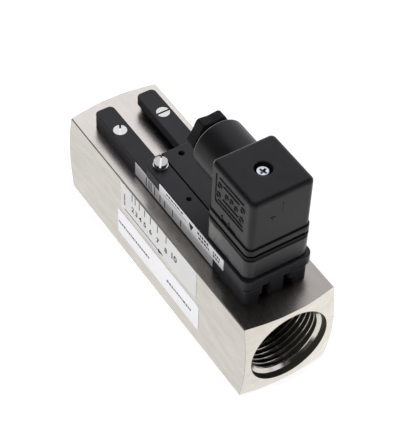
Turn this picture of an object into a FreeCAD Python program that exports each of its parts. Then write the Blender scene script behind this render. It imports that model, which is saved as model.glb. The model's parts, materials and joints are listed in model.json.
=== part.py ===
import FreeCAD, Part
import math
import os

from FreeCAD import Vector

os.makedirs("parts", exist_ok=True)

# A flow switch: a square body with a sprung magnet float inside and a reed switch sliding on top.
# Origin at the centre of the body's underside, +X along the flow, +Z up, millimetres.

# Fits
seat_gap = 0.05
running_gap = 0.08
slide_gap = 0.1
guide_gap = 0.3

# Body, a ground square bar with a pipe port in each end
body_side = 40.0
body_length = 131.0
body_edge = 0.4
end_cone_radius = 20.5
end_cone_angle = 16.0
port_radius = 16.625
port_depth = 20.0
counterbore_radius = 17.15
counterbore_depth = 2.4
bore_radius = 14.0

# Retaining rings and spoked stops that hold the sleeve
ring_land = 3.0
ring_thickness = 1.2
ring_depth = 0.9
ring_grip = 1.9
ring_mouth = 5.0
ring_lug_radius = 1.7
ring_lug_hole = 0.8
stop_thickness = 2.0
stop_rim = 2.3
stop_spoke = 3.0
stop_spokes = 3
inlet_hub_radius = 4.5
inlet_hub_hole = 1.5

# Sleeve with tapered slots
sleeve_wall = 2.4
slot_count = 3
slot_end_land = 5.0
slot_narrow = 3.0
slot_wide = 8.0

# Float with its magnet
head_length = 6.0
head_chamfer = 1.2
stem_radius = 4.5
magnet_length = 14.0
magnet_wall = 5.8
cap_length = 5.0
spigot_length = 3.0
float_rest_gap = 0.1

# Return spring
coil_radius = 8.2
coil_wire = 1.1
coil_turns = 9
coil_steps = 14
coil_sides = 8
coil_fit = 0.4

# Rails, each with a web at the outside and a flange over the inside
rail_length = 109.6
rail_shift = -0.4
rail_setback = 6.1
rail_width = 8.4
rail_web = 5.9
rail_height = 7.4
rail_flange = 3.9
rail_corner = 2.2
rail_edge = 0.4
rail_screw_inset = 13.9
rail_screw_line = 3.9

# Countersunk rail screws
screw_radius = 1.5
screw_clearance = 0.3
sunk_head_radius = 2.8
sunk_head_drop = 0.05
sunk_slot_width = 0.8
sunk_slot_depth = 0.9
rail_screw_bite = 6.0
screw_hole_spare = 1.0
front_slot_angle = -30.0
rear_slot_angle = 90.0
hidden_slot_angle = 20.0

# Labels and the rail's scale strip
label_film = 0.12
label_corner = 1.0
label_spacing = 2.5
scale_label_length = 55.4
scale_label_height = 15.2
scale_label_centre = 3.7
scale_label_drop = 0.6
type_label_length = 60.0
type_label_height = 13.3
type_label_centre = 3.8
strip_length = 55.6
strip_height = 6.6
strip_centre = 4.7

# Sliding switch housing
deck_length = 72.3
deck_setback = 0.2
front_overhang = 0.3
rear_overhang = 2.3
deck_thickness = 4.7
deck_left_corner = 5.0
deck_right_corner = 3.5
deck_edge = 0.5
neck_depth = 2.6
neck_wall = 1.5
keel_wall = 0.8
keel_float = 0.3
lip_side_gap = 0.4
lip_float = 0.6
lip_gap = 0.2
lip_start = 6.4
lip_end = 10.2
slit_width = 0.7
slit_length = 41.7

# Clamp screw in the tongue beside the slit
clamp_inset_x = 5.5
clamp_inset_y = 5.25
clamp_head_radius = 2.75
clamp_head_height = 2.3
clamp_head_lift = 0.15
clamp_flange_radius = 3.0
clamp_flange_height = 0.5
clamp_slot_width = 0.8
clamp_slot_depth = 1.0
clamp_slot_angle = 144.0
clamp_tip_gap = 0.05
bush_radius = 2.2
bush_land = 0.1
tongue_hole_radius = 1.1
tongue_hole_depth = 3.0
tongue_hole_run = 25.9
deck_hole_radius = 1.3
deck_hole_depth = 3.5
deck_hole_run = 4.0
deck_hole_y = 1.5

# Pointer plate on the tongue's edge
pointer_length = 44.8
pointer_height = 5.6
pointer_thickness = 0.3
pointer_run = 13.5
pointer_drop = 0.1

# Reed switch on its board in the keel
reed_slot_half = 2.2
reed_slot_floor = 1.0
reed_slot_run = 6.1
board_half = 2.0
board_thickness = 0.8
board_gap = 0.4
glass_radius = 1.2
glass_wall = 0.4
glass_length = 14.0
glass_run = 4.0
lead_radius = 0.25
lead_overlap = 1.5
lead_split = 0.7
wire_radius = 0.4
wire_spread = 1.2
wire_run = 3.0
wire_height = 2.2

# Square plug connector on the housing
plug_inset = 15.0
plug_y = 0.8
base_half = 14.0
base_corner = 3.5
base_height = 9.2
base_edge = 0.7
base_gasket_inset = 0.5
base_gasket_thickness = 1.0
pocket_half = 10.0
pocket_well_half = 4.2
pocket_floor = 1.2
base_screw_offset = 11.2
base_screw_radius = 1.1
base_screw_head = 2.0
base_screw_bite = 3.4
blade_offset = 9.0
blade_width = 6.3
blade_thickness = 0.8
blade_tip = 1.6
blade_above = 11.0
blade_below = 2.4
insert_bush_radius = 2.6
insert_bush_length = 8.0
insert_bush_drop = 0.5
gasket_inset = 0.7
gasket_thickness = 2.8
gasket_lip = 0.75
gasket_band_stand = 0.1
gasket_opening = 10.2
rim_stand = 0.5
rim_height = 2.8
groove_height = 0.35
groove_depth = 0.5
plug_half = 13.35
plug_corner = 2.3
plug_height = 26.8
plug_top_round = 1.9
plug_wall = 2.2
plug_roof = 4.0
cavity_corner = 0.8
notch_length = 8.8
notch_height = 1.1
notch_depth = 0.8
notch_offset = -0.3

# Terminal block inside the plug
block_gap = 0.3
block_height = 14.8
block_slot_spare = 0.3
terminal_offset = 6.2
terminal_radius = 1.4
terminal_head = 2.1
terminal_head_height = 1.5
terminal_length = 6.0
terminal_slot_width = 0.6
terminal_slot_depth = 0.7

# Plug screw in its recess
recess_radius = 3.5
recess_depth = 4.3
plug_screw_sink = 1.3
plug_head_radius = 2.4
plug_head_height = 2.0
plug_screw_bite = 6.0
cross_length = 3.2
cross_width = 1.0
cross_depth = 1.4
cross_angle = 20.0
screw_post_radius = 5.2
screw_post_length = 6.5
seal_wall = 0.6

# Cable gland on the plug's inlet side
gland_radius = 10.8
gland_drop = 0.9
gland_length = 15.05
gland_edge = 0.6
gland_bore = 6.6
gland_throat = 5.5
gland_throat_land = 3.0
nut_flats = 15.5
nut_length = 4.8
nut_stand = 2.7
nut_thread = 5.0
nut_chamfer = 0.8
nut_hollow_radius = 8.0
nut_hollow_depth = 0.45
nut_bore = 4.75
washer_thickness = 1.0
washer_bore = 5.0
seal_bore = 4.9

# Heights and places that follow from the sizes above
axis_z = body_side / 2
half_length = body_length / 2
top_z = body_side
sleeve_half = half_length - port_depth - ring_land - ring_thickness - stop_thickness
sleeve_radius = bore_radius - seat_gap
sleeve_bore = sleeve_radius - sleeve_wall
float_radius = sleeve_bore - running_gap
float_start = -sleeve_half + float_rest_gap
magnet_start = float_start + head_length
cap_start = magnet_start + magnet_length
spring_start = cap_start + cap_length
rail_outer = body_side / 2 - rail_setback
rail_inner = rail_outer - rail_width
rail_web_inner = rail_outer - rail_web
rail_screw_y = rail_outer - rail_screw_line
rail_top = top_z + rail_height
flange_z = rail_top - rail_flange
scale_bottom = top_z - scale_label_drop - scale_label_height
rail_left = rail_shift - rail_length / 2
rail_right = rail_shift + rail_length / 2
rail_screw_run = rail_length / 2 - rail_screw_inset
deck_front = rail_outer + front_overhang
deck_rear = rail_outer + rear_overhang
deck_right = rail_right - deck_setback
deck_left = deck_right - deck_length
deck_z = rail_top + slide_gap
deck_top = deck_z + deck_thickness
neck_half = rail_inner - guide_gap
neck_z = deck_z - neck_depth
keel_z = top_z + keel_float
keel_half = reed_slot_half + keel_wall
lip_half = rail_web_inner - lip_side_gap
clamp_x = deck_left + clamp_inset_x
clamp_y = clamp_inset_y - deck_front
plug_x = deck_right - plug_inset
base_z = deck_top + base_gasket_thickness
base_top = base_z + base_height
plug_z = base_top + gasket_thickness
plug_top = plug_z + plug_height
rim_top = plug_z + rim_height
groove_top = rim_top + groove_height
cavity_half = plug_half - plug_wall
cavity_top = plug_top - plug_roof
block_half = cavity_half - block_gap
block_top = plug_z + block_height
recess_z = plug_top - recess_depth
head_top = plug_top - plug_screw_sink
head_z = head_top - plug_head_height
gland_z = plug_top - gland_drop - gland_radius
gland_end = plug_x - plug_half - gland_length
throat_x = plug_x - plug_half - gland_throat_land
nut_inner = gland_end - nut_stand
nut_outer = nut_inner - nut_length
washer_x = gland_end + nut_thread + seat_gap
pocket_x0 = plug_x - pocket_half
pocket_x1 = plug_x + pocket_half
pocket_y0 = plug_y - pocket_half
pocket_y1 = plug_y + pocket_half
reed_slot_z = keel_z + reed_slot_floor
reed_slot_x = deck_left + reed_slot_run
glass_z = reed_slot_z + seat_gap + glass_radius
board_z = glass_z + glass_radius + board_gap
board_top = board_z + board_thickness
well_z = board_top + board_gap


def box(x0, x1, y0, y1, z0, z1):
    """Block between two corners."""
    return Part.makeBox(x1 - x0, y1 - y0, z1 - z0, Vector(x0, y0, z0))


def rod_x(x0, x1, radius, y=0.0, z=axis_z):
    """Round bar along the flow."""
    return Part.makeCylinder(radius, x1 - x0, Vector(x0, y, z), Vector(1, 0, 0))


def rod_z(x, y, z0, z1, radius):
    """Upright round bar."""
    return Part.makeCylinder(radius, z1 - z0, Vector(x, y, z0), Vector(0, 0, 1))


def tube_x(x0, x1, outer, inner, y=0.0, z=axis_z):
    """Tube along the flow."""
    return rod_x(x0, x1, outer, y, z).cut(rod_x(x0, x1, inner, y, z))


def tube_z(x, y, z0, z1, outer, inner):
    """Upright tube."""
    return rod_z(x, y, z0, z1, outer).cut(rod_z(x, y, z0, z1, inner))


def prism(points, sweep):
    """Polygon swept along a straight vector."""
    return Part.Face(Part.makePolygon(points + points[:1])).extrude(sweep)


def turned(outline, y=0.0, z=axis_z):
    """Solid turned about the flow direction from (x, radius) points."""
    face = Part.Face(Part.makePolygon([Vector(x, y, z + r) for x, r in outline + outline[:1]]))
    return face.revolve(Vector(0, y, z), Vector(1, 0, 0), 360)


def upright_edges(shape, x):
    """Vertical edges of a block in the plane of one end."""
    return [e for e in shape.Edges if e.BoundBox.ZLength > e.BoundBox.XLength + e.BoundBox.YLength
            and abs(e.CenterOfMass.x - x) < 1e-6]


def plate(x0, x1, y0, y1, z0, z1, left_corner, right_corner):
    """Block with its upright edges rounded, one radius at each end."""
    block = box(x0, x1, y0, y1, z0, z1)
    block = block.makeFillet(left_corner, upright_edges(block, x0))
    return block.makeFillet(right_corner, upright_edges(block, x1))


def square_plate(half, z0, z1, corner):
    """Square plate on the plug's axis."""
    return plate(plug_x - half, plug_x + half, plug_y - half, plug_y + half, z0, z1, corner, corner)


def top_edges(shape, z):
    """Edges that lie in one level plane."""
    return [e for e in shape.Edges if abs(e.BoundBox.ZMin - z) < 1e-6 and e.BoundBox.ZLength < 1e-6]


def slot_cut(x, y, z, length, width, depth, angle):
    """Screwdriver slot cut down from a level."""
    bar = box(-length, length, -width / 2, width / 2, z - depth, z + depth)
    bar.rotate(Vector(0, 0, 0), Vector(0, 0, 1), angle)
    bar.translate(Vector(x, y, 0))
    return bar


def sunk_screw(x, y, head_top_z, tip_z, shank, head):
    """Countersunk screw with a right-angled cone, without its slot."""
    cone_z = head_top_z - (head - shank)
    cone = Part.makeCone(shank, head, head - shank, Vector(x, y, cone_z), Vector(0, 0, 1))
    return rod_z(x, y, tip_z, cone_z, shank).fuse(cone)


def rail_screw_places():
    """Each rail screw's place and the angle of its slot."""
    left = rail_shift - rail_screw_run
    right = rail_shift + rail_screw_run
    return [(left, -rail_screw_y, front_slot_angle), (left, rail_screw_y, rear_slot_angle),
            (right, -rail_screw_y, hidden_slot_angle), (right, rail_screw_y, hidden_slot_angle)]


def base_screw_places():
    """Places of the two screws across the connector base."""
    return [(plug_x + side * base_screw_offset, plug_y - side * base_screw_offset) for side in (1, -1)]


def flow_body():
    """Square bar with turned end cones, counterbored ports, a through bore and the rail screws' holes."""
    half = body_side / 2
    bar = box(-half_length, half_length, -half, half, 0, body_side)
    bar = bar.makeChamfer(body_edge, [e for e in bar.Edges if e.BoundBox.XLength > half])
    corner = half * math.sqrt(2) + 1
    run = (corner - end_cone_radius) * math.tan(math.radians(end_cone_angle))
    ends = turned([(-half_length, 0), (-half_length, end_cone_radius), (run - half_length, corner),
                   (half_length - run, corner), (half_length, end_cone_radius), (half_length, 0)])
    bar = bar.common(ends)
    port_end = half_length - port_depth
    step = half_length - counterbore_depth
    void = turned([(-half_length, 0), (-half_length, counterbore_radius), (-step, counterbore_radius),
                   (-step, port_radius), (-port_end, port_radius), (-port_end, bore_radius),
                   (port_end, bore_radius), (port_end, port_radius), (step, port_radius),
                   (step, counterbore_radius), (half_length, counterbore_radius), (half_length, 0)])
    groove_x = sleeve_half + stop_thickness
    grooves = [rod_x(groove_x, groove_x + ring_thickness + seat_gap, bore_radius + ring_depth),
               rod_x(-groove_x - ring_thickness - seat_gap, -groove_x, bore_radius + ring_depth)]
    depth = rail_screw_bite + screw_hole_spare
    holes = [rod_z(x, y, top_z - depth, top_z, screw_radius + seat_gap) for x, y, a in rail_screw_places()]
    return bar.cut([void] + grooves + holes)


def slotted_nozzle():
    """Sleeve whose tapered slots give the flow a way past the float."""
    sleeve = tube_x(-sleeve_half, sleeve_half, sleeve_radius, sleeve_bore)
    reach = sleeve_half - slot_end_land
    for index in range(slot_count):
        outline = [Vector(-reach, -slot_narrow / 2, axis_z), Vector(reach, -slot_wide / 2, axis_z),
                   Vector(reach, slot_wide / 2, axis_z), Vector(-reach, slot_narrow / 2, axis_z)]
        wedge = prism(outline, Vector(0, 0, bore_radius))
        wedge.rotate(Vector(0, 0, axis_z), Vector(1, 0, 0), 360.0 * index / slot_count)
        sleeve = sleeve.cut(wedge)
    return sleeve


def spoked_disc(x0, x1, hub_outer, hub_inner):
    """Rim and hub joined by spokes."""
    rim_inner = sleeve_radius - stop_rim
    disc = tube_x(x0, x1, sleeve_radius, rim_inner).fuse(tube_x(x0, x1, hub_outer, hub_inner))
    low = axis_z + (hub_outer + hub_inner) / 2
    high = axis_z + rim_inner + stop_rim / 2
    for index in range(stop_spokes):
        spoke = box(x0, x1, -stop_spoke / 2, stop_spoke / 2, low, high)
        spoke.rotate(Vector(0, 0, axis_z), Vector(1, 0, 0), 360.0 * (index + 0.5) / stop_spokes)
        disc = disc.fuse(spoke)
    return disc.removeSplitter()


def inlet_stop():
    """Spoked disc that the float rests against."""
    return spoked_disc(-sleeve_half - stop_thickness, -sleeve_half, inlet_hub_radius, inlet_hub_hole)


def spring_stop():
    """Spoked disc with a seat and a collar for the spring."""
    coil_inner = coil_radius - coil_wire / 2
    disc = spoked_disc(sleeve_half, sleeve_half + stop_thickness, coil_radius + coil_wire, stem_radius)
    collar = tube_x(sleeve_half - spigot_length, sleeve_half, coil_inner - coil_fit, stem_radius)
    return disc.fuse(collar).removeSplitter()


def circlip(x0):
    """Open retaining ring with two holed lugs at its mouth."""
    x1 = x0 + ring_thickness
    inner = bore_radius - ring_grip
    ring = tube_x(x0, x1, bore_radius + ring_depth - seat_gap, inner)
    lug_y = ring_mouth / 2 + ring_lug_radius
    lug_z = axis_z - math.sqrt(inner ** 2 - lug_y ** 2)
    ring = ring.cut(box(x0, x1, -ring_mouth / 2, ring_mouth / 2, axis_z - 2 * bore_radius, axis_z))
    ring = ring.fuse([rod_x(x0, x1, ring_lug_radius, side * lug_y, lug_z) for side in (-1, 1)])
    ring = ring.cut([rod_x(x0, x1, ring_lug_hole, side * lug_y, lug_z) for side in (-1, 1)])
    return ring.removeSplitter()


def float_body():
    """Float's measuring head with the stem that carries the magnet and cap."""
    stem_end = spring_start + spigot_length
    return turned([(float_start, 0), (float_start, float_radius - head_chamfer),
                   (float_start + head_chamfer, float_radius), (magnet_start, float_radius),
                   (magnet_start, stem_radius), (stem_end, stem_radius), (stem_end, 0)])


def float_magnet():
    """Ring magnet on the float's stem."""
    inner = stem_radius + seat_gap
    return tube_x(magnet_start, cap_start, inner + magnet_wall, inner)


def float_cap():
    """Rear guide of the float, with a spigot inside the spring."""
    spigot = coil_radius - coil_wire / 2 - coil_fit
    cap = rod_x(cap_start, spring_start, float_radius)
    cap = cap.fuse(rod_x(spring_start, spring_start + spigot_length, spigot))
    bore = rod_x(cap_start, spring_start + spigot_length, stem_radius + seat_gap)
    return cap.cut(bore).removeSplitter()


def coil_section(turn, height):
    """Wire's many-sided section after some turns of the coil."""
    angle = 2 * math.pi * turn
    out = Vector(0, math.cos(angle), math.sin(angle))
    middle = Vector(spring_start + coil_wire / 2 + height * turn / coil_turns, 0, axis_z)
    points = []
    for index in range(coil_sides):
        around = 2 * math.pi * (index + 0.5) / coil_sides
        radius = coil_radius + coil_wire / 2 * math.cos(around)
        points.append(middle + out * radius + Vector(coil_wire / 2 * math.sin(around), 0, 0))
    return Part.makePolygon(points + points[:1])


def return_spring():
    """Open coil from the float's cap to the spring stop, in short straight steps."""
    height = sleeve_half - spring_start - coil_wire
    steps = coil_turns * coil_steps
    return Part.makeLoft([coil_section(i / coil_steps, height) for i in range(steps + 1)], True, True)


def rail(side):
    """Guide rail with rounded ends, an inward top flange and two countersunk holes."""
    section = [(rail_outer, top_z), (rail_outer, rail_top), (rail_inner, rail_top), (rail_inner, flange_z),
               (rail_web_inner, flange_z), (rail_web_inner, top_z)]
    bar = prism([Vector(rail_left, side * y, z) for y, z in section], Vector(rail_length, 0, 0))
    low, high = sorted((side * rail_inner, side * rail_outer))
    bar = bar.common(plate(rail_left, rail_right, low, high, top_z, rail_top, rail_corner, rail_corner))
    bar = bar.makeFillet(rail_edge, top_edges(bar, rail_top))
    hole = screw_radius + screw_clearance
    mouth = sunk_head_radius + sunk_head_drop + seat_gap
    for x in (rail_shift - rail_screw_run, rail_shift + rail_screw_run):
        bar = bar.cut(sunk_screw(x, side * rail_screw_y, rail_top, top_z, hole, mouth))
    return bar


def rail_screws():
    """Four slotted countersunk screws, flush in the rails."""
    screws = []
    for x, y, angle in rail_screw_places():
        head_level = rail_top - sunk_head_drop
        screw = sunk_screw(x, y, head_level, top_z - rail_screw_bite, screw_radius, sunk_head_radius)
        cut = slot_cut(x, y, head_level, sunk_head_radius, sunk_slot_width, sunk_slot_depth, angle)
        screws.append(screw.cut(cut))
    return Part.makeCompound(screws)


def front_film(centre, length, z0, z1, face_y):
    """Thin film on a front face."""
    return box(centre - length / 2, centre + length / 2, face_y - label_film, face_y, z0, z1)


def round_corners(film):
    """Film with its four corners rounded."""
    return film.makeFillet(label_corner, [e for e in film.Edges if e.BoundBox.YLength > label_film / 2
                                          and e.BoundBox.XLength + e.BoundBox.ZLength < label_film])


def scale_label():
    """Clear film for the flow scale on the body."""
    high = top_z - scale_label_drop
    film = front_film(scale_label_centre, scale_label_length, scale_bottom, high, -body_side / 2)
    return round_corners(film)


def type_label():
    """White label under the scale."""
    high = scale_bottom - label_spacing
    low = high - type_label_height
    return round_corners(front_film(type_label_centre, type_label_length, low, high, -body_side / 2))


def rail_scale():
    """Ticked strip on the front rail."""
    return front_film(strip_centre, strip_length, rail_top - strip_height, rail_top, -rail_outer)


def switch_housing():
    """Sliding housing: deck over the rails, neck and keel between them, lips under their flanges."""
    deck = plate(deck_left, deck_right, -deck_front, deck_rear, deck_z, deck_top,
                 deck_left_corner, deck_right_corner)
    deck = deck.makeFillet(deck_edge, top_edges(deck, deck_top))
    neck = box(deck_left, pocket_x1 + neck_wall, -neck_half, neck_half, neck_z, deck_z)
    keel = box(deck_left, deck_right, -keel_half, keel_half, keel_z, deck_z)
    lip_x0 = deck_left + lip_start
    lip_x1 = deck_right - lip_end
    lip_top = flange_z - lip_gap
    lips = box(lip_x0, lip_x1, -lip_half, lip_half, top_z + lip_float, lip_top)
    stem = box(lip_x0, lip_x1, -neck_half, neck_half, lip_top, neck_z)
    housing = deck.fuse([neck, keel, lips, stem]).removeSplitter()
    slit_y = -neck_half
    hole_x = deck_left + tongue_hole_run
    low_hole_x = deck_left + deck_hole_run
    cuts = [box(deck_left, deck_left + slit_length, slit_y - slit_width, slit_y, deck_z, deck_top),
            rod_z(clamp_x, clamp_y, deck_z, deck_top, bush_radius + seat_gap),
            rod_z(hole_x, clamp_y, deck_top - tongue_hole_depth, deck_top, tongue_hole_radius),
            rod_z(low_hole_x, deck_hole_y, deck_top - deck_hole_depth, deck_top, deck_hole_radius),
            box(pocket_x0, pocket_x1, pocket_y0, pocket_y1, deck_z + pocket_floor, deck_top),
            box(pocket_x0, pocket_x1, -pocket_well_half, pocket_well_half, well_z, deck_top),
            box(reed_slot_x, pocket_x1, -reed_slot_half, reed_slot_half, reed_slot_z, well_z)]
    for x, y in base_screw_places():
        cuts.append(rod_z(x, y, deck_top - base_screw_bite, deck_top, base_screw_radius + seat_gap))
    return housing.cut(cuts)


def clamp_insert():
    """Threaded bush in the clamp tongue."""
    inner = screw_radius + seat_gap
    return tube_z(clamp_x, clamp_y, deck_z + bush_land, deck_top - bush_land, bush_radius, inner)


def clamp_screw():
    """Slotted cheese-head screw with a flange, whose tip bears on the front rail."""
    head_z0 = deck_top + clamp_head_lift
    head_z1 = head_z0 + clamp_head_height
    screw = rod_z(clamp_x, clamp_y, rail_top + clamp_tip_gap, head_z0, screw_radius)
    flange = rod_z(clamp_x, clamp_y, head_z0, head_z0 + clamp_flange_height, clamp_flange_radius)
    screw = screw.fuse([flange, rod_z(clamp_x, clamp_y, head_z0, head_z1, clamp_head_radius)])
    return screw.cut(slot_cut(clamp_x, clamp_y, head_z1, clamp_head_radius, clamp_slot_width,
                              clamp_slot_depth, clamp_slot_angle))


def pointer_label():
    """Index plate on the tongue's front edge, hanging over the rail's strip."""
    x0 = deck_left + pointer_run
    y0 = -deck_front - pointer_thickness
    high = deck_top - pointer_drop
    return box(x0, x0 + pointer_length, y0, -deck_front, high - pointer_height, high)


def reed_span():
    """Ends of the reed's glass along the keel."""
    x0 = reed_slot_x + glass_run
    return x0, x0 + glass_length


def reed_board():
    """Narrow board over the reed, with holes for its leads."""
    board = box(reed_slot_x + board_gap, pocket_x1 - board_gap, -board_half, board_half, board_z, board_top)
    x0, x1 = reed_span()
    holes = [rod_z(x, 0, board_z, board_top, lead_radius + seat_gap) for x in lead_places(x0, x1)]
    return board.cut(holes)


def lead_places(x0, x1):
    """Where the two reed leads turn up into the board."""
    return x0 - glass_run / 2, x1 + glass_run / 2


def reed_glass():
    """Sealed glass capsule, open only where the leads pass."""
    x0, x1 = reed_span()
    inner = rod_x(x0 + glass_radius, x1 - glass_radius, glass_radius - glass_wall, z=glass_z)
    capsule = rod_x(x0 + glass_radius, x1 - glass_radius, glass_radius, z=glass_z)
    capsule = capsule.fuse([Part.makeSphere(glass_radius, Vector(x, 0, glass_z)) for x in
                            (x0 + glass_radius, x1 - glass_radius)]).removeSplitter()
    passage = rod_x(x0, x1, lead_radius + lead_split / 2, z=glass_z)
    return capsule.cut([inner, passage])


def reed_leads():
    """Two reeds that overlap inside the glass and turn up into the board."""
    x0, x1 = reed_span()
    middle = (x0 + x1) / 2
    left_x, right_x = lead_places(x0, x1)
    leads = []
    for post, tip, drop in ((left_x, middle + lead_overlap, -1), (right_x, middle - lead_overlap, 1)):
        z = glass_z + drop * lead_split / 2
        low, high = sorted((post, tip))
        reed = rod_x(low, high, lead_radius, z=z)
        upright = rod_z(post, 0, z, board_top + board_gap, lead_radius)
        elbow = Part.makeSphere(lead_radius, Vector(post, 0, z))
        leads.append(reed.fuse([upright, elbow]).removeSplitter())
    return Part.makeCompound(leads)


def jumper_wires():
    """Two wires from the board to the side blades' tails."""
    x = plug_x - wire_run
    turn_z = deck_top - wire_height + wire_radius
    reach = blade_offset - blade_thickness / 2 - seat_gap
    wires = []
    for side in (-1, 1):
        y = side * wire_spread
        low, high = sorted((y, plug_y + side * reach))
        riser = rod_z(x, y, board_top, turn_z, wire_radius)
        elbow = Part.makeSphere(wire_radius, Vector(x, y, turn_z))
        across = Part.makeCylinder(wire_radius, high - low, Vector(x, low, turn_z), Vector(0, 1, 0))
        wires.append(riser.fuse([elbow, across]).removeSplitter())
    return Part.makeCompound(wires)


def square_frame(half, opening, z0, z1, corner):
    """Square gasket with a square opening."""
    hole = box(plug_x - opening, plug_x + opening, plug_y - opening, plug_y + opening, z0, z1)
    return square_plate(half, z0, z1, corner).cut(hole)


def base_gasket():
    """Seal between the housing and the connector base."""
    half = base_half - base_gasket_inset
    hole = base_screw_radius + seat_gap
    frame = square_frame(half, pocket_half, deck_top, base_z, base_corner - base_gasket_inset)
    return frame.cut([rod_z(x, y, deck_top, base_z, hole) for x, y in base_screw_places()])


def blade_outline(low, high):
    """Half-width outline of a contact blade with a tapered tip, as (across, z) points."""
    half = blade_width / 2
    return [(-half, low), (half, low), (half, high - blade_tip), (half - blade_tip, high),
            (blade_tip - half, high), (-half, high - blade_tip)]


def blade_places():
    """Each blade's centre and whether it lies across the flow."""
    return [(plug_x, plug_y - blade_offset, False), (plug_x, plug_y + blade_offset, False),
            (plug_x - blade_offset, plug_y, True), (plug_x + blade_offset, plug_y, True)]


def contact_blades():
    """Three contact blades and the earth blade."""
    low = deck_top - blade_below
    high = base_top + blade_above
    half = blade_thickness / 2
    blades = []
    for x, y, across in blade_places():
        if across:
            outline = [Vector(x - half, y + a, z) for a, z in blade_outline(low, high)]
            blades.append(prism(outline, Vector(blade_thickness, 0, 0)))
        else:
            outline = [Vector(x + a, y - half, z) for a, z in blade_outline(low, high)]
            blades.append(prism(outline, Vector(0, blade_thickness, 0)))
    return Part.makeCompound(blades)


def blade_slots(z0, z1, spare):
    """Slots that let the blades through."""
    wide = blade_width / 2 + spare
    thin = blade_thickness / 2 + spare
    slots = []
    for x, y, across in blade_places():
        half_x, half_y = (thin, wide) if across else (wide, thin)
        slots.append(box(x - half_x, x + half_x, y - half_y, y + half_y, z0, z1))
    return slots


def connector_base():
    """Square male base with slots for its blades and a threaded bush in the middle."""
    base = square_plate(base_half, base_z, base_top, base_corner)
    base = base.makeFillet(base_edge, top_edges(base, base_top))
    bush_z = base_top - insert_bush_drop - insert_bush_length
    cuts = blade_slots(base_z, base_top, seat_gap)
    cuts.append(rod_z(plug_x, plug_y, bush_z, base_top, insert_bush_radius + seat_gap))
    hole = base_screw_radius + seat_gap
    for x, y in base_screw_places():
        cuts.append(sunk_screw(x, y, base_top, base_z, hole, base_screw_head + seat_gap))
    return base.cut(cuts)


def base_screws():
    """Two countersunk screws that hold the base to the housing."""
    screws = []
    for x, y in base_screw_places():
        screw = sunk_screw(x, y, base_top, deck_top - base_screw_bite, base_screw_radius, base_screw_head)
        cut = slot_cut(x, y, base_top, base_screw_head, terminal_slot_width, terminal_slot_depth, 0)
        screws.append(screw.cut(cut))
    return Part.makeCompound(screws)


def screw_insert():
    """Threaded bush in the base for the plug screw."""
    high = base_top - insert_bush_drop
    low = high - insert_bush_length
    return tube_z(plug_x, plug_y, low, high, insert_bush_radius, screw_radius + seat_gap)


def flange_gasket():
    """Flat gasket between base and plug, with a raised band round its edge."""
    flat = square_frame(base_half - gasket_inset, gasket_opening, base_top, plug_z,
                        base_corner - gasket_inset)
    band = square_frame(base_half + gasket_band_stand, gasket_opening, base_top + gasket_lip,
                        plug_z - gasket_lip, base_corner + gasket_band_stand)
    return flat.fuse(band).removeSplitter()


def terminal_places():
    """Terminal screws at the block's corners."""
    return [(plug_x + i * terminal_offset, plug_y + j * terminal_offset) for i in (-1, 1) for j in (-1, 1)]


def terminal_insert():
    """Terminal block that takes the blades, inside the plug."""
    block = square_plate(block_half, plug_z, block_top, cavity_corner)
    cuts = blade_slots(plug_z, base_top + blade_above + block_slot_spare, block_slot_spare)
    cuts.append(rod_z(plug_x, plug_y, plug_z, block_top, screw_radius + guide_gap))
    depth = terminal_length - terminal_head_height
    for x, y in terminal_places():
        cuts.append(rod_z(x, y, block_top - depth, block_top, terminal_radius + seat_gap))
    return block.cut(cuts)


def terminal_screws():
    """Four slotted terminal screws on the block."""
    screws = []
    for x, y in terminal_places():
        high = block_top + terminal_head_height
        screw = rod_z(x, y, high - terminal_length, block_top, terminal_radius)
        screw = screw.fuse(rod_z(x, y, block_top, high, terminal_head))
        cut = slot_cut(x, y, high, terminal_head, terminal_slot_width, terminal_slot_depth, 45)
        screws.append(screw.cut(cut))
    return Part.makeCompound(screws)


def gland_boss():
    """Round boss of the gland with a rounded mouth."""
    boss = rod_x(gland_end, plug_x - plug_half + plug_wall / 2, gland_radius, plug_y, gland_z)
    return boss.makeFillet(gland_edge, [e for e in boss.Edges if abs(e.BoundBox.XMax - gland_end) < 1e-6])


def pry_notch():
    """Wedge over the groove, deepest at the groove, for prising the plug off."""
    x0 = plug_x + notch_offset - notch_length / 2
    face_y = plug_y - plug_half
    high = groove_top + notch_height * (notch_depth + rim_stand) / notch_depth
    outline = [Vector(x0, face_y - rim_stand, groove_top), Vector(x0, face_y + notch_depth, groove_top),
               Vector(x0, face_y - rim_stand, high)]
    return prism(outline, Vector(notch_length, 0, 0))


def plug_housing():
    """Square plug shell with a rounded crown over a groove, screw post, pry notch and gland boss."""
    rim = square_plate(plug_half + rim_stand, plug_z, rim_top, plug_corner + rim_stand)
    waist = square_plate(plug_half - groove_depth, rim_top, groove_top, plug_corner)
    crown = square_plate(plug_half, groove_top, plug_top, plug_corner)
    crown = crown.makeFillet(plug_top_round, top_edges(crown, plug_top))
    shell = crown.fuse([rim, waist, gland_boss()])
    shell = shell.cut(square_plate(cavity_half, plug_z, cavity_top, cavity_corner))
    post_z = cavity_top - screw_post_length
    shell = shell.fuse(rod_z(plug_x, plug_y, post_z, cavity_top, screw_post_radius))
    cuts = [rod_z(plug_x, plug_y, recess_z, plug_top, recess_radius),
            rod_z(plug_x, plug_y, post_z, recess_z, screw_radius + screw_clearance),
            rod_x(gland_end, throat_x, gland_bore + seat_gap, plug_y, gland_z),
            rod_x(throat_x, plug_x - cavity_half, gland_throat, plug_y, gland_z),
            pry_notch()]
    return shell.cut(cuts).removeSplitter()


def screw_seal():
    """Sealing ring under the plug screw's head."""
    inner = screw_radius + screw_clearance
    return tube_z(plug_x, plug_y, recess_z, head_z, inner + seal_wall, inner)


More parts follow.
